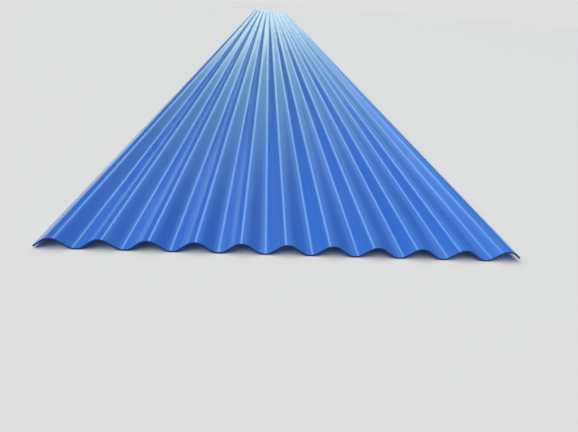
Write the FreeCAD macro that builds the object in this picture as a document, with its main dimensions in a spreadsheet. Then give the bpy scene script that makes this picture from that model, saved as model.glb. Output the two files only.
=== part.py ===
import FreeCAD, Part
import math
import os
import Sketcher

# A round-wave corrugated roofing sheet of rigid PVC, extruded and formed in one piece and cut to length.
# X runs across the waves, Y along the sheet and Z up. The origin is on the floor under the middle of the
# sheet, which rests on the undersides of its valleys. Both outermost waves are crests, and the two side
# edges are trimmed straight down, each a short lip beyond its crest.

NODE = "roofing_sheet"

DIMENSIONS = {
    "pitch": 76,  # from one ridge line to the next
    "wave_depth": 18,  # from ridge to valley, on one face of the sheet
    "thickness": 3,
    "flank_angle": 36,  # degrees between the straight flank of a wave and the floor
    "valley_count": 10,  # one fewer than the crests
    "left_lip": 28,  # from the first ridge line to the left side edge
    "right_lip": 22,  # from the last ridge line to the right side edge
    "sheet_length": 11800,
}

# Sketcher's names for the points of a line, an arc and the sketch's own origin.
START, END, CENTRE = 1, 2, 3
SKETCH_ORIGIN = (-1, 1)
SKETCH_X_AXIS = -1


def vector(x, z):
    """A point of a sketch on the XZ plane, where the sketch's own Y is the sheet's Z."""
    return FreeCAD.Vector(x, z, 0)


def make_dimension_sheet(doc):
    """Puts each driving dimension in a cell with its own alias."""
    sheet = doc.addObject("Spreadsheet::Sheet", "dims")
    for row, (name, value) in enumerate(DIMENSIONS.items(), start=1):
        sheet.set(f"A{row}", name)
        sheet.set(f"B{row}", str(value))
        sheet.setAlias(f"B{row}", name)
    doc.recompute()
    return sheet


def origin_feature(body, role):
    """One of the body's own origin planes or axes, by its role."""
    return next(f for f in body.Origin.OriginFeatures if f.Role == role)


def add_section_sketch(body, name):
    """A sketch on the body's XZ plane, which cuts across the waves."""
    sketch = body.newObject("Sketcher::SketchObject", name)
    sketch.AttachmentSupport = [(origin_feature(body, "XZ_Plane"), "")]
    sketch.MapMode = "FlatFace"
    return sketch


def constrain(sketch, kind, *args):
    """Adds a constraint that holds no size."""
    sketch.addConstraint(Sketcher.Constraint(kind, *args))


def dimension(sketch, name, kind, args, start_value, expression):
    """Adds a named dimension and binds it to the spreadsheet."""
    index = sketch.addConstraint(Sketcher.Constraint(kind, *args, start_value))
    sketch.renameConstraint(index, name)
    sketch.setExpression(f"Constraints.{name}", expression)


def draw_wave_face(sketch, sheet, left_x, ridge_z, side):
    """Draws one face of a wave, from a ridge through its valley to the next ridge, as tangent arcs and
    straight flanks. side is +1 for the upper face and -1 for the lower. Returns the five edges."""
    pitch, depth, thickness = float(sheet.pitch), float(sheet.wave_depth), float(sheet.thickness)
    flank = math.radians(float(sheet.flank_angle))
    bend = (pitch / 2 * math.sin(flank) - depth * math.cos(flank)) / (2 * (1 - math.cos(flank)))
    ridge_radius = bend + side * thickness / 2
    valley_radius = bend - side * thickness / 2
    ridge_centre_z = ridge_z - ridge_radius
    valley_centre_z = ridge_z - depth + valley_radius
    up, left_down = math.pi / 2, math.pi * 3 / 2 - flank

    def arc(x, z, radius, first, last):
        circle = Part.Circle(vector(x, z), FreeCAD.Vector(0, 0, 1), radius)
        return sketch.addGeometry(Part.ArcOfCircle(circle, first, last))

    def on_arc(x, z, radius, angle):
        return vector(x + radius * math.cos(angle), z + radius * math.sin(angle))

    def flank_line(ridge_x, ridge_angle, valley_angle):
        top = on_arc(ridge_x, ridge_centre_z, ridge_radius, ridge_angle)
        foot = on_arc(left_x + pitch / 2, valley_centre_z, valley_radius, valley_angle)
        return sketch.addGeometry(Part.LineSegment(foot, top))

    right_x = left_x + pitch
    left_ridge = arc(left_x, ridge_centre_z, ridge_radius, up - flank, up)
    left_flank = flank_line(left_x, up - flank, left_down)
    valley = arc(left_x + pitch / 2, valley_centre_z, valley_radius, left_down, left_down + 2 * flank)
    right_flank = flank_line(right_x, up + flank, left_down + 2 * flank)
    right_ridge = arc(right_x, ridge_centre_z, ridge_radius, up, up + flank)
    constrain(sketch, "Tangent", left_ridge, START, left_flank, END)
    constrain(sketch, "Tangent", left_flank, START, valley, START)
    constrain(sketch, "Tangent", valley, END, right_flank, START)
    constrain(sketch, "Tangent", right_flank, END, right_ridge, END)
    return left_ridge, left_flank, valley, right_flank, right_ridge


def make_wave(doc, body, sheet):
    """Pads one wave of the stock, from ridge to ridge, a pitch to the left of the first ridge line."""
    pitch, valleys = float(sheet.pitch), float(sheet.valley_count)
    ridge_height = float(sheet.wave_depth) + float(sheet.thickness)
    centre_to_stock = pitch + (pitch * valleys + float(sheet.right_lip) - float(sheet.left_lip)) / 2
    left_x = -centre_to_stock

    sketch = add_section_sketch(body, "WaveSection")
    upper = draw_wave_face(sketch, sheet, left_x, ridge_height, +1)
    lower = draw_wave_face(sketch, sheet, left_x, ridge_height - float(sheet.thickness), -1)
    seams = []
    for x, top_edge, under_edge, point in (
        (left_x, upper[0], lower[0], END),
        (left_x + pitch, upper[4], lower[4], START),
    ):
        top = vector(x, ridge_height)
        foot = vector(x, ridge_height - float(sheet.thickness))
        seam = sketch.addGeometry(Part.LineSegment(top, foot))
        constrain(sketch, "Coincident", seam, START, top_edge, point)
        constrain(sketch, "Coincident", seam, END, under_edge, point)
        constrain(sketch, "Vertical", seam)
        constrain(sketch, "PointOnObject", top_edge, CENTRE, seam)
        seams.append(seam)
    for edge in (0, 2, 4):
        constrain(sketch, "Coincident", upper[edge], CENTRE, lower[edge], CENTRE)
    for outer in (upper[4], lower[2]):
        constrain(sketch, "Equal", upper[0], outer)
    for inner in (lower[4], upper[2]):
        constrain(sketch, "Equal", lower[0], inner)
    constrain(sketch, "Horizontal", seams[0], START, seams[1], START)
    constrain(sketch, "Tangent", lower[2], SKETCH_X_AXIS)

    dimension(sketch, "pitch", "DistanceX", (seams[0], START, seams[1], START), pitch, "dims.pitch")
    dimension(
        sketch, "half_pitch", "DistanceX", (seams[0], START, upper[2], CENTRE), pitch / 2, "dims.pitch / 2"
    )
    dimension(
        sketch, "ridge_height", "DistanceY", (*SKETCH_ORIGIN, seams[0], START), ridge_height,
        "dims.wave_depth + dims.thickness",
    )
    dimension(
        sketch, "thickness", "DistanceY", (seams[0], END, seams[0], START), float(sheet.thickness),
        "dims.thickness",
    )
    dimension(
        sketch, "flank_angle", "Angle", (upper[3],), math.radians(float(sheet.flank_angle)),
        "dims.flank_angle",
    )
    dimension(
        sketch, "centre_to_stock", "DistanceX", (seams[0], START, *SKETCH_ORIGIN), centre_to_stock,
        "dims.pitch + (dims.pitch * dims.valley_count + dims.right_lip - dims.left_lip) / 2",
    )
    doc.recompute()

    wave = body.newObject("PartDesign::Pad", "Wave")
    wave.Profile = sketch
    wave.SideType = "Symmetric"
    wave.setExpression("Length", "dims.sheet_length")
    doc.recompute()
    return sketch, wave


def repeat_wave(doc, body, wave):
    """Repeats the wave across the stock, which is one wave wider than the outer crests on each side."""
    stock = body.newObject("PartDesign::LinearPattern", "Stock")
    stock.Originals = [wave]
    stock.Direction = (origin_feature(body, "X_Axis"), [""])
    stock.setExpression("Length", "dims.pitch * (dims.valley_count + 1)")
    stock.setExpression("Occurrences", "dims.valley_count + 2")
    stock.Refine = True
    body.Tip = stock
    doc.recompute()
    return stock


def trim_sides(doc, body, sheet):
    """Trims both side edges of the stock straight down, each its own lip beyond the outermost crest."""
    pitch, valleys = float(sheet.pitch), float(sheet.valley_count)
    half_width = (pitch * valleys + float(sheet.left_lip) + float(sheet.right_lip)) / 2

    sketch = add_section_sketch(body, "OffcutSection")
    for name, side in (("left", -1), ("right", +1)):
        edge_x, waste_x = side * half_width, side * (half_width + 2 * pitch)
        corners = [
            vector(edge_x, -pitch), vector(edge_x, pitch), vector(waste_x, pitch), vector(waste_x, -pitch),
        ]
        lines = [
            sketch.addGeometry(Part.LineSegment(a, b)) for a, b in zip(corners, corners[1:] + corners[:1])
        ]
        for line, after in zip(lines, lines[1:] + lines[:1]):
            constrain(sketch, "Coincident", line, END, after, START)
        edge, top, waste, under = lines
        constrain(sketch, "Symmetric", edge, START, edge, END, SKETCH_X_AXIS)
        constrain(sketch, "Vertical", waste)
        for level in (top, under):
            constrain(sketch, "Horizontal", level)
        dimension(
            sketch, f"{name}_height", "DistanceY", (edge, START, edge, END), 2 * pitch, "2 * dims.pitch"
        )
        across = (top, START, waste, START) if side > 0 else (waste, START, top, START)
        dimension(sketch, f"{name}_offcut", "DistanceX", across, 2 * pitch, "2 * dims.pitch")
        from_middle = (*SKETCH_ORIGIN, edge, END) if side > 0 else (edge, END, *SKETCH_ORIGIN)
        dimension(
            sketch, f"{name}_edge", "DistanceX", from_middle, half_width,
            "(dims.pitch * dims.valley_count + dims.left_lip + dims.right_lip) / 2",
        )
    doc.recompute()

    trim = body.newObject("PartDesign::Pocket", "SideTrim")
    trim.Profile = sketch
    trim.SideType = "Symmetric"
    trim.setExpression("Length", "dims.sheet_length * 2")
    trim.Refine = True
    doc.recompute()
    return sketch, trim


def check_document(doc, sketches):
    """Stops the build if an object failed or a section isn't fully drawn."""
    for item in doc.Objects:
        if {"Invalid", "Error"} & set(item.State):
            raise RuntimeError(f"{item.Name} failed: {item.State}")
    for sketch in sketches:
        if not sketch.FullyConstrained:
            raise RuntimeError(f"{sketch.Name} isn't fully constrained")


def make_roofing_sheet(doc, sheet):
    """The whole sheet, as one body."""
    body = doc.addObject("PartDesign::Body", "Sheet")
    body.Label = NODE
    wave_section, wave = make_wave(doc, body, sheet)
    stock = repeat_wave(doc, body, wave)
    offcut_section, trim = trim_sides(doc, body, sheet)
    check_document(doc, (wave_section, offcut_section))
    if not trim.Shape.Volume < stock.Shape.Volume:
        raise RuntimeError("the side trim cut nothing")
    return body


def export(body):
    """Writes the body as parts/LABEL.step, once it is one valid solid."""
    shape = body.Shape
    if shape.isNull() or not shape.isValid() or len(shape.Solids) != 1:
        raise RuntimeError(f"{body.Label} isn't one valid solid")
    os.makedirs("parts", exist_ok=True)
    shape.exportStep(f"parts/{body.Label}.step")
    box = shape.BoundBox
    print(f"{body.Label}: {box.XLength:.2f} x {box.YLength:.2f} x {box.ZLength:.2f} mm, "
          f"z from {box.ZMin:.3f}, {shape.Volume / 1e6:.3f} litres, {len(shape.Faces)} faces")


document = FreeCAD.newDocument("corrugated_roofing_sheet")
dims = make_dimension_sheet(document)
export(make_roofing_sheet(document, dims))
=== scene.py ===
import math

import bpy
from mathutils import Matrix, Vector


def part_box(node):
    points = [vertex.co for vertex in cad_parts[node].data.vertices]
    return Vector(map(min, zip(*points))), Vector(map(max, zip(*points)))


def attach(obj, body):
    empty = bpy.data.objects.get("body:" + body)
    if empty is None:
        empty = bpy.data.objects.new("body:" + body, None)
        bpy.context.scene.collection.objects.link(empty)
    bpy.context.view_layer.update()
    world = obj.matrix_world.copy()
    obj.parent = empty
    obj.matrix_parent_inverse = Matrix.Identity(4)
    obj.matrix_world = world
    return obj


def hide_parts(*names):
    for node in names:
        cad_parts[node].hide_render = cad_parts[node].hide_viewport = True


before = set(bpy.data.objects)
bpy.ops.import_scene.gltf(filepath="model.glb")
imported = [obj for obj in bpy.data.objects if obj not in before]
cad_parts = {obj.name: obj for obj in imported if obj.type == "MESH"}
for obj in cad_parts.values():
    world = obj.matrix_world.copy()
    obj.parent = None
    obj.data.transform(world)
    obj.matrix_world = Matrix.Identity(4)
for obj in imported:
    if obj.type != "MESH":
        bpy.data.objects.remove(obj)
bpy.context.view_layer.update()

# ------------------------------------------------------------------------------------------------------
# THE ROOFING SHEET
# One run of blue rigid PVC, pushed hot through a wide flat die, pressed into round waves while it is still
# soft, trimmed along both sides and sawn square to length. It is a single piece with nothing fixed to it:
# screws and caps only go through its ridges when it is laid.
# ------------------------------------------------------------------------------------------------------

sheet_low, sheet_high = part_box("roofing_sheet")
SHEET_WIDTH = sheet_high[0] - sheet_low[0]
SHEET_LENGTH = sheet_high[1] - sheet_low[1]
SHEET_THICKNESS = 0.003
WAVE_PITCH = 0.076
WAVE_DEPTH = sheet_high[2] - sheet_low[2] - SHEET_THICKNESS
FLANK_ANGLE = math.radians(36)
LEFT_LIP = 0.028  # from the left side edge to the first ridge line

# The mesh. A step across the waves is 2 mm, which lands on every ridge line and valley line.
STEP_ACROSS = 0.002
STEPS_ALONG = 90
WELD_DISTANCE = 0.00001
EDGE_ROUND = 0.0003  # the saw and the trimming knife leave the corners very slightly blunt
EDGE_STEPS = 2
EDGE_ANGLE = math.radians(40)  # what turns by more than this is a corner
UPRIGHT = 0.1  # a face is a cut one where its normal rises or falls by less than this

# How far the real sheet strays from its drawing.
WAVE_DRIFT = 0.0004  # sideways wander of the ridge lines
DEPTH_SLACK = 0.02  # the share of the depth that a wave loses where it has relaxed
SAW_WANDER = 0.0005  # how far the sawn ends stray from a straight cut
SAW_REACH = 0.001  # what lies nearer to an end than this moves with the saw cut
WANDER_SEED = 3.0


def add_node(tree, kind, inputs=None, **options):
    """Places a node, sets its options and feeds its inputs: a socket is linked, a plain value is set."""
    node = tree.nodes.new(kind)
    for option, value in options.items():
        setattr(node, option, value)
    for key, value in (inputs or {}).items():
        if isinstance(value, bpy.types.NodeSocket):
            tree.links.new(value, node.inputs[key])
        else:
            node.inputs[key].default_value = value
    return node


def calculate(tree, operation, *values):
    """The result of one Math node."""
    return add_node(tree, "ShaderNodeMath", dict(enumerate(values)), operation=operation).outputs[0]


def new_group(name, kind, inputs, outputs):
    """An empty node group with named sockets. Returns the tree, its Group Input and its Group Output."""
    tree = bpy.data.node_groups.new(name, kind)
    for in_out, sockets in (("INPUT", inputs), ("OUTPUT", outputs)):
        for socket_name, socket_kind in sockets.items():
            tree.interface.new_socket(socket_name, in_out=in_out, socket_type=f"NodeSocket{socket_kind}")
    return tree, tree.nodes.new("NodeGroupInput"), tree.nodes.new("NodeGroupOutput")


# --- the section of one face of the sheet, as a height for each place across it

def arc_sagitta(tree, radius, reach):
    """How far a circle has fallen away from its top at a distance reach from it."""
    radius_squared = calculate(tree, "POWER", radius, 2)
    reach_squared = calculate(tree, "POWER", reach, 2)
    centre_depth = calculate(tree, "SQRT", calculate(tree, "SUBTRACT", radius_squared, reach_squared))
    return calculate(tree, "SUBTRACT", radius, centre_depth)


wave_face, face_in, face_out = new_group(
    "wave_face",
    "GeometryNodeTree",
    {
        "From Ridge Line": "Float", "Pitch": "Float", "Flank Angle": "Float",
        "Ridge Radius": "Float", "Valley Radius": "Float", "Ridge Height": "Float",
    },
    {"Height": "Float"},
)
half_pitch = calculate(wave_face, "DIVIDE", face_in.outputs["Pitch"], 2)
from_ridge = calculate(wave_face, "PINGPONG", face_in.outputs["From Ridge Line"], half_pitch)
from_valley = calculate(wave_face, "SUBTRACT", half_pitch, from_ridge)
flank_sine = calculate(wave_face, "SINE", face_in.outputs["Flank Angle"])
flank_tangent = calculate(wave_face, "TANGENT", face_in.outputs["Flank Angle"])
ridge_reach = calculate(wave_face, "MULTIPLY", face_in.outputs["Ridge Radius"], flank_sine)
valley_reach = calculate(wave_face, "MULTIPLY", face_in.outputs["Valley Radius"], flank_sine)
ridge_fall = arc_sagitta(
    wave_face, face_in.outputs["Ridge Radius"], calculate(wave_face, "MINIMUM", from_ridge, ridge_reach)
)
valley_rise = arc_sagitta(
    wave_face, face_in.outputs["Valley Radius"], calculate(wave_face, "MINIMUM", from_valley, valley_reach)
)
whole_valley = arc_sagitta(wave_face, face_in.outputs["Valley Radius"], valley_reach)
flank_width = calculate(
    wave_face, "SUBTRACT", half_pitch, calculate(wave_face, "ADD", ridge_reach, valley_reach)
)
flank_run = calculate(
    wave_face, "MINIMUM", flank_width,
    calculate(wave_face, "MAXIMUM", calculate(wave_face, "SUBTRACT", from_ridge, ridge_reach), 0.0),
)
flank_fall = calculate(wave_face, "MULTIPLY", flank_run, flank_tangent)
valley_fall = calculate(wave_face, "SUBTRACT", whole_valley, valley_rise)
fall = calculate(wave_face, "ADD", calculate(wave_face, "ADD", ridge_fall, flank_fall), valley_fall)
wave_face.links.new(
    calculate(wave_face, "SUBTRACT", face_in.outputs["Ridge Height"], fall), face_out.inputs["Height"]
)


# --- the whole sheet: a flat board of the sheet's outline, pressed into waves

sheet_tree, sheet_in, sheet_out = new_group(
    "corrugated_sheet",
    "GeometryNodeTree",
    {
        "Width": "Float", "Length": "Float", "Thickness": "Float", "Pitch": "Float", "Depth": "Float",
        "Flank Angle": "Float", "Left Lip": "Float", "Steps Across": "Int", "Steps Along": "Int",
        "Wave Drift": "Float", "Depth Slack": "Float", "Saw Wander": "Float", "Seed": "Float",
        "Top Finish": "Material", "Under Finish": "Material", "Cut Finish": "Material",
    },
    {"Geometry": "Geometry"},
)
size = sheet_in.outputs
flat = add_node(
    sheet_tree, "GeometryNodeMeshGrid",
    {
        "Size X": size["Width"], "Size Y": size["Length"],
        "Vertices X": calculate(sheet_tree, "ADD", size["Steps Across"], 1),
        "Vertices Y": calculate(sheet_tree, "ADD", size["Steps Along"], 1),
    },
).outputs["Mesh"]
raised = add_node(
    sheet_tree, "GeometryNodeExtrudeMesh",
    {"Mesh": flat, "Offset": (0, 0, 1), "Offset Scale": size["Thickness"], "Individual": False},
    mode="FACES",
).outputs["Mesh"]
underside = add_node(sheet_tree, "GeometryNodeFlipFaces", {"Mesh": flat}).outputs["Mesh"]
both_faces = add_node(sheet_tree, "GeometryNodeJoinGeometry", {"Geometry": raised})
sheet_tree.links.new(underside, both_faces.inputs["Geometry"])
board = add_node(
    sheet_tree, "GeometryNodeMergeByDistance",
    {"Geometry": both_faces.outputs["Geometry"], "Distance": WELD_DISTANCE},
).outputs["Geometry"]

place = add_node(sheet_tree, "GeometryNodeInputPosition").outputs["Position"]
x, y, z = add_node(sheet_tree, "ShaderNodeSeparateXYZ", {"Vector": place}).outputs
is_top = calculate(sheet_tree, "GREATER_THAN", z, calculate(sheet_tree, "DIVIDE", size["Thickness"], 2))


def slow_noise(per_metre_across, per_metre_along, seed_step):
    """Smooth noise from -1 to 1 over the sheet, the same on its two faces."""
    spot = add_node(
        sheet_tree, "ShaderNodeCombineXYZ",
        {
            "X": calculate(sheet_tree, "MULTIPLY", x, per_metre_across),
            "Y": calculate(sheet_tree, "MULTIPLY", y, per_metre_along),
            "Z": calculate(sheet_tree, "ADD", size["Seed"], seed_step),
        },
    ).outputs["Vector"]
    noise = add_node(
        sheet_tree, "ShaderNodeTexNoise", {"Vector": spot, "Scale": 1.0, "Detail": 1.0},
        noise_dimensions="3D",
    ).outputs["Fac"]
    return calculate(sheet_tree, "MULTIPLY_ADD", noise, 2.0, -1.0)


half_width = calculate(sheet_tree, "DIVIDE", size["Width"], 2)
first_ridge = calculate(sheet_tree, "SUBTRACT", size["Left Lip"], half_width)
sideways = slow_noise(per_metre_across=1.2, per_metre_along=0.3, seed_step=0.0)
drift = calculate(sheet_tree, "MULTIPLY", sideways, size["Wave Drift"])
from_first_ridge = calculate(sheet_tree, "ADD", calculate(sheet_tree, "SUBTRACT", x, first_ridge), drift)
sine = calculate(sheet_tree, "SINE", size["Flank Angle"])
cosine = calculate(sheet_tree, "COSINE", size["Flank Angle"])
bend_radius = calculate(
    sheet_tree, "DIVIDE",
    calculate(
        sheet_tree, "SUBTRACT",
        calculate(sheet_tree, "MULTIPLY", calculate(sheet_tree, "DIVIDE", size["Pitch"], 2), sine),
        calculate(sheet_tree, "MULTIPLY", size["Depth"], cosine),
    ),
    calculate(sheet_tree, "MULTIPLY", calculate(sheet_tree, "SUBTRACT", 1.0, cosine), 2.0),
)
half_thickness = calculate(sheet_tree, "DIVIDE", size["Thickness"], 2)
outer_radius = calculate(sheet_tree, "ADD", bend_radius, half_thickness)
inner_radius = calculate(sheet_tree, "SUBTRACT", bend_radius, half_thickness)
shared = {
    "From Ridge Line": from_first_ridge, "Pitch": size["Pitch"], "Flank Angle": size["Flank Angle"],
}
full_height = calculate(sheet_tree, "ADD", size["Depth"], size["Thickness"])
top_height = add_node(
    sheet_tree, "GeometryNodeGroup",
    {
        **shared, "Ridge Radius": outer_radius, "Valley Radius": inner_radius,
        "Ridge Height": full_height,
    },
    node_tree=wave_face,
).outputs["Height"]
under_height = add_node(
    sheet_tree, "GeometryNodeGroup",
    {
        **shared, "Ridge Radius": inner_radius, "Valley Radius": outer_radius,
        "Ridge Height": size["Depth"],
    },
    node_tree=wave_face,
).outputs["Height"]
drawn_height = add_node(
    sheet_tree, "GeometryNodeSwitch", {"Switch": is_top, "False": under_height, "True": top_height},
    input_type="FLOAT",
).outputs["Output"]

# Where a wave has relaxed, its ridges sink and its valleys lift towards the middle of the section.
middle_height = calculate(sheet_tree, "DIVIDE", full_height, 2)
give = slow_noise(per_metre_across=2.0, per_metre_along=0.35, seed_step=7.0)
relaxed = calculate(sheet_tree, "MAXIMUM", give, 0.0)
stiffness = calculate(
    sheet_tree, "SUBTRACT", 1.0, calculate(sheet_tree, "MULTIPLY", relaxed, size["Depth Slack"])
)
height = calculate(
    sheet_tree, "MULTIPLY_ADD",
    calculate(sheet_tree, "SUBTRACT", drawn_height, middle_height), stiffness, middle_height,
)

# The saw leaves each end a hair short of square in places.
half_length = calculate(sheet_tree, "DIVIDE", size["Length"], 2)
end_line = calculate(sheet_tree, "SUBTRACT", half_length, SAW_REACH)
is_end = calculate(sheet_tree, "GREATER_THAN", calculate(sheet_tree, "ABSOLUTE", y), end_line)
saw_noise = slow_noise(per_metre_across=21.0, per_metre_along=1.0, seed_step=13.0)
bite = calculate(
    sheet_tree, "MULTIPLY", calculate(sheet_tree, "ABSOLUTE", saw_noise), size["Saw Wander"]
)
end_bite = calculate(sheet_tree, "MULTIPLY", is_end, bite)
which_end = calculate(sheet_tree, "SIGN", y)
sawn_y = calculate(sheet_tree, "SUBTRACT", y, calculate(sheet_tree, "MULTIPLY", end_bite, which_end))
pressed_place = add_node(
    sheet_tree, "ShaderNodeCombineXYZ", {"X": x, "Y": sawn_y, "Z": height}
).outputs["Vector"]
pressed = add_node(
    sheet_tree, "GeometryNodeSetPosition", {"Geometry": board, "Position": pressed_place}
).outputs["Geometry"]
smooth = add_node(sheet_tree, "GeometryNodeSetShadeSmooth", {"Geometry": pressed}).outputs["Geometry"]
real = add_node(sheet_tree, "GeometryNodeRealizeInstances", {"Geometry": smooth}).outputs["Geometry"]

facing = add_node(sheet_tree, "GeometryNodeInputNormal").outputs["Normal"]
facing_z = add_node(sheet_tree, "ShaderNodeSeparateXYZ", {"Vector": facing}).outputs["Z"]
is_under = calculate(sheet_tree, "LESS_THAN", facing_z, -UPRIGHT)
is_cut = calculate(sheet_tree, "LESS_THAN", calculate(sheet_tree, "ABSOLUTE", facing_z), UPRIGHT)
finished = real
for selection, finish in ((None, "Top Finish"), (is_under, "Under Finish"), (is_cut, "Cut Finish")):
    chosen = {"Geometry": finished, "Material": size[finish]}
    if selection is not None:
        chosen["Selection"] = selection
    finished = add_node(sheet_tree, "GeometryNodeSetMaterial", chosen).outputs["Geometry"]
sheet_tree.links.new(finished, sheet_out.inputs["Geometry"])


# --- what shows on every face of the sheet, as node groups for its finishes

def object_place(tree):
    """A place on the piece, in metres."""
    return add_node(tree, "ShaderNodeTexCoord").outputs["Object"]


def stretched_noise(tree, place, per_metre, detail, roughness=0.5):
    """Noise with its own number of features per metre along each axis."""
    spot = add_node(tree, "ShaderNodeMapping", {"Vector": place, "Scale": per_metre}).outputs["Vector"]
    return add_node(
        tree, "ShaderNodeTexNoise", {"Vector": spot, "Scale": 1.0, "Detail": detail, "Roughness": roughness}
    ).outputs["Fac"]


def soft_step(tree, value, zero_at, one_at):
    """0 where a value reaches zero_at and 1 where it reaches one_at, with a soft change between them."""
    return add_node(
        tree, "ShaderNodeMapRange", {"Value": value, "From Min": zero_at, "From Max": one_at},
        interpolation_type="SMOOTHSTEP",
    ).outputs["Result"]


def blend_colours(tree, factor, first, second):
    """A Mix node between two colours."""
    node = add_node(tree, "ShaderNodeMix", {0: factor}, data_type="RGBA")
    for socket, colour in ((node.inputs[6], first), (node.inputs[7], second)):
        if isinstance(colour, bpy.types.NodeSocket):
            tree.links.new(colour, socket)
        else:
            socket.default_value = (*colour, 1.0)
    return node.outputs[2]


# Fine grooves that the lips of the die draw along the whole sheet, and broader bands where the melt ran
# a little thicker.
die_lines, lines_in, lines_out = new_group(
    "die_lines", "ShaderNodeTree",
    {"Place": "Vector", "Groove Share": "Float"},
    {"Height": "Float", "Bands": "Float"},
)
die_place = lines_in.outputs["Place"]
grooves = stretched_noise(die_lines, die_place, per_metre=(620.0, 0.35, 0.0), detail=3.0, roughness=0.65)
bands = stretched_noise(die_lines, die_place, per_metre=(95.0, 0.18, 0.0), detail=2.0)
centred_grooves = calculate(die_lines, "SUBTRACT", grooves, 0.5)
die_lines.links.new(
    calculate(die_lines, "MULTIPLY_ADD", centred_grooves, lines_in.outputs["Groove Share"], bands),
    lines_out.inputs["Height"],
)
die_lines.links.new(soft_step(die_lines, bands, zero_at=0.3, one_at=0.7), lines_out.inputs["Bands"])

# Yard dust: it lies in patches of specks, thickest along the valley floors.
DUST_ON_RIDGES = 0.3  # as a share of what lies in the valleys
DUST_BETWEEN_SPECKS = 0.4

yard_dust, dust_in, dust_out = new_group(
    "yard_dust", "ShaderNodeTree",
    {"Place": "Vector", "Valley Top": "Float", "Amount": "Float"},
    {"Mask": "Float"},
)
dust_place = dust_in.outputs["Place"]
dust_z = add_node(yard_dust, "ShaderNodeSeparateXYZ", {"Vector": dust_place}).outputs["Z"]
in_valley = soft_step(yard_dust, dust_z, zero_at=dust_in.outputs["Valley Top"], one_at=SHEET_THICKNESS)
patch_noise = stretched_noise(
    yard_dust, dust_place, per_metre=(16.0, 1.7, 16.0), detail=5.0, roughness=0.62
)
patches = soft_step(yard_dust, patch_noise, zero_at=0.40, one_at=0.72)
speck_noise = stretched_noise(yard_dust, dust_place, per_metre=(520.0, 430.0, 520.0), detail=2.0)
specks = soft_step(yard_dust, speck_noise, zero_at=0.50, one_at=0.74)
settled = calculate(yard_dust, "MULTIPLY_ADD", in_valley, 1.0 - DUST_ON_RIDGES, DUST_ON_RIDGES)
lying = calculate(yard_dust, "MULTIPLY", patches, settled)
grain = calculate(yard_dust, "MULTIPLY_ADD", specks, 1.0 - DUST_BETWEEN_SPECKS, DUST_BETWEEN_SPECKS)
all_dust = calculate(yard_dust, "MULTIPLY", lying, grain)
yard_dust.links.new(
    calculate(yard_dust, "MULTIPLY", all_dust, dust_in.outputs["Amount"]), dust_out.inputs["Mask"]
)

# Scuffs: thin pale rubs, drawn along the sheet where others were slid over it.
slide_scuffs, scuffs_in, scuffs_out = new_group(
    "slide_scuffs", "ShaderNodeTree",
    {"Place": "Vector", "Amount": "Float"},
    {"Mask": "Float"},
)
scuff_place = scuffs_in.outputs["Place"]
thread_noise = stretched_noise(slide_scuffs, scuff_place, per_metre=(900.0, 4.5, 0.0), detail=2.0)
threads = soft_step(slide_scuffs, thread_noise, zero_at=0.63, one_at=0.72)
rub_noise = stretched_noise(slide_scuffs, scuff_place, per_metre=(11.0, 2.2, 0.0), detail=3.0)
rubbed = soft_step(slide_scuffs, rub_noise, zero_at=0.50, one_at=0.68)
scuffed_threads = calculate(slide_scuffs, "MULTIPLY", threads, rubbed)
slide_scuffs.links.new(
    calculate(slide_scuffs, "MULTIPLY", scuffed_threads, scuffs_in.outputs["Amount"]),
    scuffs_out.inputs["Mask"],
)


# --- the three finishes of the one material

PIGMENT_BLUE = (0.029, 0.140, 0.565)
PIGMENT_LIGHT = (0.042, 0.173, 0.64)
SCUFF_BLUE = (0.09, 0.28, 0.80)
DUST_GREY = (0.27, 0.41, 0.62)
# The sawn ends and sides get a navy far darker than the pigment: painted shade, for cut faces that turn
# away from the light.
SAWN_BLUE_PAINTED_SHADE = (0.006, 0.028, 0.19)
SAWN_RIDGES_PAINTED_SHADE = (0.012, 0.055, 0.30)
PVC_IOR = 1.53
LIGHT_IN_BANDS = 0.45  # how far the paler pigment follows the die's bands, and how far loose clouds
LIGHT_IN_CLOUDS = 0.55
BAND_DULLING = 0.07  # what the bands, the dust and the scuffs each add to the roughness
DUST_DULLING = 0.45
SCUFF_DULLING = 0.25
GROOVE_SHARE = 0.35  # how much the fine grooves count beside the broad bands
GROOVE_STRENGTH = 0.35
GROOVE_DEPTH = 0.00004
PEEL_DEPTH = 0.0001
SAW_MARK_SLANT = math.radians(24)
SAW_MARK_STRENGTH = 0.7
SAW_MARK_DEPTH = 0.0002
SAWN_DUST = 0.08


def new_finish(name):
    """A material with only its output and a Principled BSDF. Returns the material, tree and shader."""
    material = bpy.data.materials.new(name)
    material.use_nodes = True
    return material, material.node_tree, material.node_tree.nodes["Principled BSDF"]


def feed(tree, shader, **sockets):
    """Links or sets inputs of a Principled BSDF, whose names have spaces where these have underscores."""
    for name, value in sockets.items():
        socket = shader.inputs[name.replace("_", " ")]
        if isinstance(value, bpy.types.NodeSocket):
            tree.links.new(value, socket)
        else:
            socket.default_value = value


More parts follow.
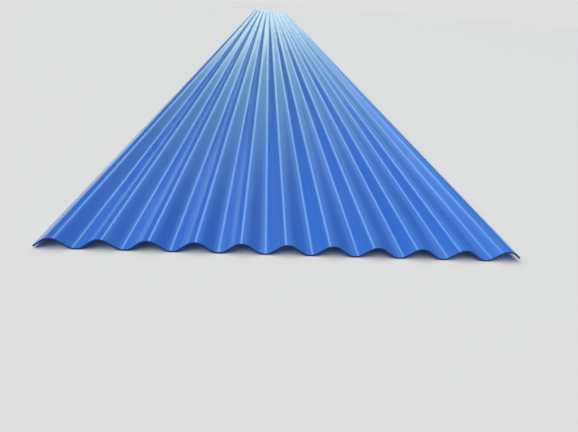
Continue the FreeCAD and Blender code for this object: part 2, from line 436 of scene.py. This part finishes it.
def moulded_finish(name, roughness, dust_amount, scuff_amount, peel):
    """Blue PVC as it leaves the die: glossy, faintly lined along the sheet, then dusted and rubbed."""
    material, tree, shader = new_finish(name)
    spot = object_place(tree)
    lines = add_node(
        tree, "ShaderNodeGroup", {"Place": spot, "Groove Share": GROOVE_SHARE}, node_tree=die_lines
    ).outputs
    dust = add_node(
        tree, "ShaderNodeGroup",
        {"Place": spot, "Valley Top": SHEET_THICKNESS + WAVE_DEPTH / 2, "Amount": dust_amount},
        node_tree=yard_dust,
    ).outputs["Mask"]
    scuffs = add_node(
        tree, "ShaderNodeGroup", {"Place": spot, "Amount": scuff_amount}, node_tree=slide_scuffs
    ).outputs["Mask"]
    cloud_noise = stretched_noise(tree, spot, per_metre=(7.0, 1.1, 7.0), detail=3.0)
    clouds = soft_step(tree, cloud_noise, zero_at=0.3, one_at=0.7)
    cloud_share = calculate(tree, "MULTIPLY", clouds, LIGHT_IN_CLOUDS)
    light_share = calculate(tree, "MULTIPLY_ADD", lines["Bands"], LIGHT_IN_BANDS, cloud_share)
    pigment = blend_colours(tree, light_share, PIGMENT_BLUE, PIGMENT_LIGHT)
    rubbed_pigment = blend_colours(tree, scuffs, pigment, SCUFF_BLUE)
    colour = blend_colours(tree, dust, rubbed_pigment, DUST_GREY)
    banded = calculate(tree, "MULTIPLY_ADD", lines["Bands"], BAND_DULLING, roughness)
    dusted = calculate(tree, "MULTIPLY_ADD", dust, DUST_DULLING, banded)
    scuffed = calculate(tree, "MULTIPLY_ADD", scuffs, SCUFF_DULLING, dusted)
    orange_peel = stretched_noise(tree, spot, per_metre=(230.0, 160.0, 230.0), detail=1.0)
    peel_bump = add_node(
        tree, "ShaderNodeBump", {"Height": orange_peel, "Strength": peel, "Distance": PEEL_DEPTH}
    ).outputs["Normal"]
    line_bump = add_node(
        tree, "ShaderNodeBump",
        {
            "Height": lines["Height"], "Strength": GROOVE_STRENGTH, "Distance": GROOVE_DEPTH,
            "Normal": peel_bump,
        },
    ).outputs["Normal"]
    feed(tree, shader, Base_Color=colour, Roughness=scuffed, IOR=PVC_IOR, Normal=line_bump)
    return material


def sawn_finish(name):
    """The sawn ends and knifed sides: matt, with close saw marks, a little dust smeared on, and painted
    shade in their dark navy.
    """
    material, tree, shader = new_finish(name)
    spot = object_place(tree)
    slanted = add_node(
        tree, "ShaderNodeMapping", {"Vector": spot, "Rotation": (0.0, SAW_MARK_SLANT, 0.0)}
    ).outputs["Vector"]
    marks = stretched_noise(tree, slanted, per_metre=(1300.0, 0.0, 60.0), detail=3.0, roughness=0.7)
    dust = add_node(
        tree, "ShaderNodeGroup", {"Place": spot, "Valley Top": WAVE_DEPTH, "Amount": SAWN_DUST},
        node_tree=yard_dust,
    ).outputs["Mask"]
    mark_share = soft_step(tree, marks, zero_at=0.35, one_at=0.75)
    # The saw marks blend two darkened navies: painted shade on every cut face.
    cut = blend_colours(tree, mark_share, SAWN_BLUE_PAINTED_SHADE, SAWN_RIDGES_PAINTED_SHADE)
    mark_bump = add_node(
        tree, "ShaderNodeBump",
        {"Height": marks, "Strength": SAW_MARK_STRENGTH, "Distance": SAW_MARK_DEPTH},
    ).outputs["Normal"]
    feed(
        tree, shader, Base_Color=blend_colours(tree, dust, cut, DUST_GREY),
        Roughness=calculate(tree, "MULTIPLY_ADD", marks, 0.25, 0.5), IOR=PVC_IOR,
        Specular_IOR_Level=0.15, Normal=mark_bump,
    )
    return material


weather_face = moulded_finish(
    "upvc_weather_face", roughness=0.13, dust_amount=0.34, scuff_amount=0.3, peel=0.04
)
under_face = moulded_finish(
    "upvc_under_face", roughness=0.34, dust_amount=0.15, scuff_amount=0.5, peel=0.35
)
sawn_edge = sawn_finish("upvc_sawn_edge")


def set_input(modifier, group, name, value):
    """Sets a Geometry Nodes input by the identifier of its socket."""
    socket = next(s for s in group.interface.items_tree if s.name == name and s.in_out == "INPUT")
    modifier[socket.identifier] = value


roofing_sheet = bpy.data.objects.new("blue_roofing_sheet", bpy.data.meshes.new("blue_roofing_sheet"))
bpy.context.collection.objects.link(roofing_sheet)
pressing = roofing_sheet.modifiers.new("pressing", "NODES")
pressing.node_group = sheet_tree
for input_name, input_value in {
    "Width": SHEET_WIDTH, "Length": SHEET_LENGTH, "Thickness": SHEET_THICKNESS, "Pitch": WAVE_PITCH,
    "Depth": WAVE_DEPTH, "Flank Angle": FLANK_ANGLE, "Left Lip": LEFT_LIP,
    "Steps Across": round(SHEET_WIDTH / STEP_ACROSS), "Steps Along": STEPS_ALONG,
    "Wave Drift": WAVE_DRIFT, "Depth Slack": DEPTH_SLACK, "Saw Wander": SAW_WANDER,
    "Seed": WANDER_SEED,
    "Top Finish": weather_face, "Under Finish": under_face, "Cut Finish": sawn_edge,
}.items():
    set_input(pressing, sheet_tree, input_name, input_value)
blunting = roofing_sheet.modifiers.new("blunting", "BEVEL")
blunting.width = EDGE_ROUND
blunting.segments = EDGE_STEPS
blunting.limit_method = "ANGLE"
blunting.angle_limit = EDGE_ANGLE
blunting.harden_normals = True

bpy.context.view_layer.update()
finished_mesh = bpy.data.meshes.new_from_object(
    roofing_sheet.evaluated_get(bpy.context.evaluated_depsgraph_get())
)
roofing_sheet.modifiers.clear()
roofing_sheet.data = finished_mesh
finished_mesh.name = "blue_roofing_sheet"
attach(roofing_sheet, "root")
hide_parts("roofing_sheet")


# ------------------------------------------------------------------------------------------------------
# THE STUDIO FLOOR
# A plain pale floor under the valleys of the sheet. It thins out far away, into the pale surroundings.
# ------------------------------------------------------------------------------------------------------

FLOOR_RADIUS = 60.0
FLOOR_CORNERS = 96
FLOOR_FADE_START = 7.0
FLOOR_FADE_END = 26.0
FLOOR_PALE = (0.80, 0.775, 0.745)

floor_mesh = bpy.data.meshes.new("studio_floor")
floor_mesh.from_pydata(
    [
        (FLOOR_RADIUS * math.cos(turn), FLOOR_RADIUS * math.sin(turn), sheet_low[2])
        for turn in (math.tau * k / FLOOR_CORNERS for k in range(FLOOR_CORNERS))
    ],
    [],
    [tuple(range(FLOOR_CORNERS))],
)
floor = bpy.data.objects.new("studio_floor", floor_mesh)
bpy.context.collection.objects.link(floor)
floor_material, floor_nodes, floor_shader = new_finish("pale_floor")
feed(floor_nodes, floor_shader, Base_Color=(*FLOOR_PALE, 1.0), Roughness=0.9)
from_middle = add_node(
    floor_nodes, "ShaderNodeVectorMath", {"Vector": object_place(floor_nodes)}, operation="LENGTH"
).outputs["Value"]
thinning = soft_step(floor_nodes, from_middle, FLOOR_FADE_START, FLOOR_FADE_END)
nothing = add_node(floor_nodes, "ShaderNodeBsdfTransparent").outputs[0]
floor_fade = add_node(
    floor_nodes, "ShaderNodeMixShader", {0: thinning, 1: floor_shader.outputs[0], 2: nothing}
)
floor_nodes.links.new(floor_fade.outputs[0], floor_nodes.nodes["Material Output"].inputs["Surface"])
floor_mesh.materials.append(floor_material)


# ------------------------------------------------------------------------------------------------------
# THE STUDIO LIGHT
# A tall strip of light beyond the far end leans left, widens as it rises and draws a line along every ridge
# and valley. Soft light comes from overhead, a little from the left. The room is pale green just right of
# the strip and dark left of it, but for a pale patch low down, so the two flanks of each wave differ.
# ------------------------------------------------------------------------------------------------------

PANEL_WIDTH = 14.0  # the panel that the strip is drawn on
PANEL_HEIGHT = 15.0
PANEL_BEYOND_END = 2.0
PANEL_WATTS_PER_SQUARE_METRE = math.pi
STRIP_TOP_SHARE = 0.36  # the width that is lit at the top of the panel, as a share of the whole
STRIP_FOOT_SHARE = 0.156
STRIP_TOP_X = -3.1  # where the middle of the strip meets the top of the panel, and its foot
STRIP_FOOT_X = 0.4
STRIP_CORE_SHARE = 0.5  # the share of the strip's half width that is fully lit
STRIP_COLOURS = (  # from the foot of the panel at 0 to its top at 1
    (0.03, (0.71, 0.82, 0.72)),
    (0.10, (0.47, 0.66, 0.67)),
    (0.22, (0.70, 1.04, 1.20)),
    (0.62, (1.8, 2.95, 3.9)),
)
OVERHEAD_AXIS = (-0.45, -0.10, 0.89)
OVERHEAD_EDGE = 0.6  # the cosines of the angles off the axis at which the soft light ends and is full
OVERHEAD_CORE = 0.95
OVERHEAD_LIGHT = (2.30, 2.18, 2.23)
WALL_COLOURS = (  # from the far left at 0 to the far right at 1
    (0.46, (0.08, 0.12, 0.08)),
    (0.54, (0.33, 0.58, 0.58)),
    (0.62, (0.33, 0.58, 0.58)),
    (0.74, (0.12, 0.24, 0.32)),
)
LOW_PATCH_TOP = 0.20  # how high, as a share of the way straight up, the low patch ends and is full
LOW_PATCH_CORE_TOP = 0.04
LOW_PATCH_EDGE = -0.28  # how far to the left it begins and is full
LOW_PATCH_CORE_EDGE = -0.46
LOW_PATCH_COLOUR = (0.82, 1.08, 0.70)
ROOM_SEEN = (0.735, 0.743, 0.738)


def colour_ramp(tree, factor, stops):
    """The colour for a factor from 0 to 1, eased between the given stops."""
    node = add_node(tree, "ShaderNodeValToRGB", {"Fac": factor})
    node.color_ramp.interpolation = "EASE"
    first, second = node.color_ramp.elements
    elements = [first, second] + [node.color_ramp.elements.new(1.0) for _ in stops[2:]]
    for element, (position, colour) in zip(elements, stops):
        element.position = position
        element.color = (*colour, 1.0)
    return node.outputs["Color"]


panel = bpy.data.lights.new("far_strip_light", "AREA")
panel.shape = "RECTANGLE"
panel.size = PANEL_WIDTH
panel.size_y = PANEL_HEIGHT
panel.energy = PANEL_WATTS_PER_SQUARE_METRE * PANEL_WIDTH * PANEL_HEIGHT
strip_light = bpy.data.objects.new("far_strip_light", panel)
strip_light.location = (0.0, sheet_high[1] + PANEL_BEYOND_END, PANEL_HEIGHT / 2)
strip_light.rotation_mode = "QUATERNION"
strip_light.rotation_quaternion = Vector((0.0, -1.0, 0.0)).to_track_quat("-Z", "Y")  # back along the sheet
strip_light.visible_camera = False
bpy.context.collection.objects.link(strip_light)
lit_by_strip = bpy.data.collections.new("lit_by_strip")  # the strip is kept off the floor
lit_by_strip.objects.link(roofing_sheet)
strip_light.light_linking.receiver_collection = lit_by_strip
panel.use_nodes = True
strip_nodes = panel.node_tree
lamp_spot = add_node(strip_nodes, "ShaderNodeNewGeometry").outputs["Parametric"]
across_panel, up_panel, _ = add_node(strip_nodes, "ShaderNodeSeparateXYZ", {"Vector": lamp_spot}).outputs
middle_foot = 0.5 - STRIP_FOOT_X / PANEL_WIDTH  # the panel counts across itself from its right-hand side
middle_top = 0.5 - STRIP_TOP_X / PANEL_WIDTH
strip_middle = calculate(strip_nodes, "MULTIPLY_ADD", up_panel, middle_top - middle_foot, middle_foot)
off_middle = calculate(
    strip_nodes, "ABSOLUTE", calculate(strip_nodes, "SUBTRACT", across_panel, strip_middle)
)
half_lit = calculate(
    strip_nodes, "MULTIPLY_ADD", up_panel, (STRIP_TOP_SHARE - STRIP_FOOT_SHARE) / 2, STRIP_FOOT_SHARE / 2
)
emission = strip_nodes.nodes["Emission"]
core = calculate(strip_nodes, "MULTIPLY", half_lit, STRIP_CORE_SHARE)
strip_nodes.links.new(soft_step(strip_nodes, off_middle, half_lit, core), emission.inputs["Strength"])
strip_nodes.links.new(colour_ramp(strip_nodes, up_panel, STRIP_COLOURS), emission.inputs["Color"])

world = bpy.data.worlds.new("studio_room")
bpy.context.scene.world = world
world.use_nodes = True
room = world.node_tree
room_shader = room.nodes["Background"]
direction = add_node(room, "ShaderNodeTexCoord").outputs["Generated"]
toward_x, _, toward_z = add_node(room, "ShaderNodeSeparateXYZ", {"Vector": direction}).outputs
overhead = add_node(
    room, "ShaderNodeVectorMath", {0: direction, 1: OVERHEAD_AXIS}, operation="DOT_PRODUCT"
).outputs["Value"]
walls = colour_ramp(room, calculate(room, "MULTIPLY_ADD", toward_x, 0.5, 0.5), WALL_COLOURS)
low_down = soft_step(room, toward_z, LOW_PATCH_TOP, LOW_PATCH_CORE_TOP)
on_the_left = soft_step(room, toward_x, LOW_PATCH_EDGE, LOW_PATCH_CORE_EDGE)
low_patch = calculate(room, "MULTIPLY", low_down, on_the_left)
patched_walls = blend_colours(room, low_patch, walls, LOW_PATCH_COLOUR)
overhead_share = soft_step(room, overhead, OVERHEAD_EDGE, OVERHEAD_CORE)
room_light = blend_colours(room, overhead_share, patched_walls, OVERHEAD_LIGHT)
seen = add_node(room, "ShaderNodeLightPath").outputs["Is Camera Ray"]
room.links.new(blend_colours(room, seen, room_light, ROOM_SEEN), room_shader.inputs["Color"])
room_shader.inputs["Strength"].default_value = 1.0


# ------------------------------------------------------------------------------------------------------
# THE CAMERA
# It is held just above and behind the near end, a little left of the middle, looking down the waves.
# ------------------------------------------------------------------------------------------------------

CAMERA_BEHIND_END = 0.569
CAMERA_LEFT_OF_MIDDLE = 0.0430
CAMERA_HEIGHT = 0.380
CAMERA_PITCH = math.radians(28.11)  # down
CAMERA_YAW = math.radians(4.42)  # to the right
CAMERA_ROLL = math.radians(4.13)
LENS_MM = 25.5
SENSOR_MM = 36.0

camera_data = bpy.data.cameras.new("camera")
camera_data.sensor_width = SENSOR_MM
camera_data.lens = LENS_MM
camera_data.clip_start = 0.01
camera = bpy.data.objects.new("camera", camera_data)
camera_x = -CAMERA_LEFT_OF_MIDDLE
camera_y = sheet_low[1] - CAMERA_BEHIND_END
camera_z = sheet_low[2] + CAMERA_HEIGHT
camera.matrix_world = (
    Matrix.Translation((camera_x, camera_y, camera_z))
    @ Matrix.Rotation(-CAMERA_YAW, 4, "Z")
    @ Matrix.Rotation(math.pi / 2 - CAMERA_PITCH, 4, "X")
    @ Matrix.Rotation(CAMERA_ROLL, 4, "Z")
)
bpy.context.collection.objects.link(camera)
bpy.context.scene.camera = camera
bpy.context.scene.view_settings.view_transform = "Standard"
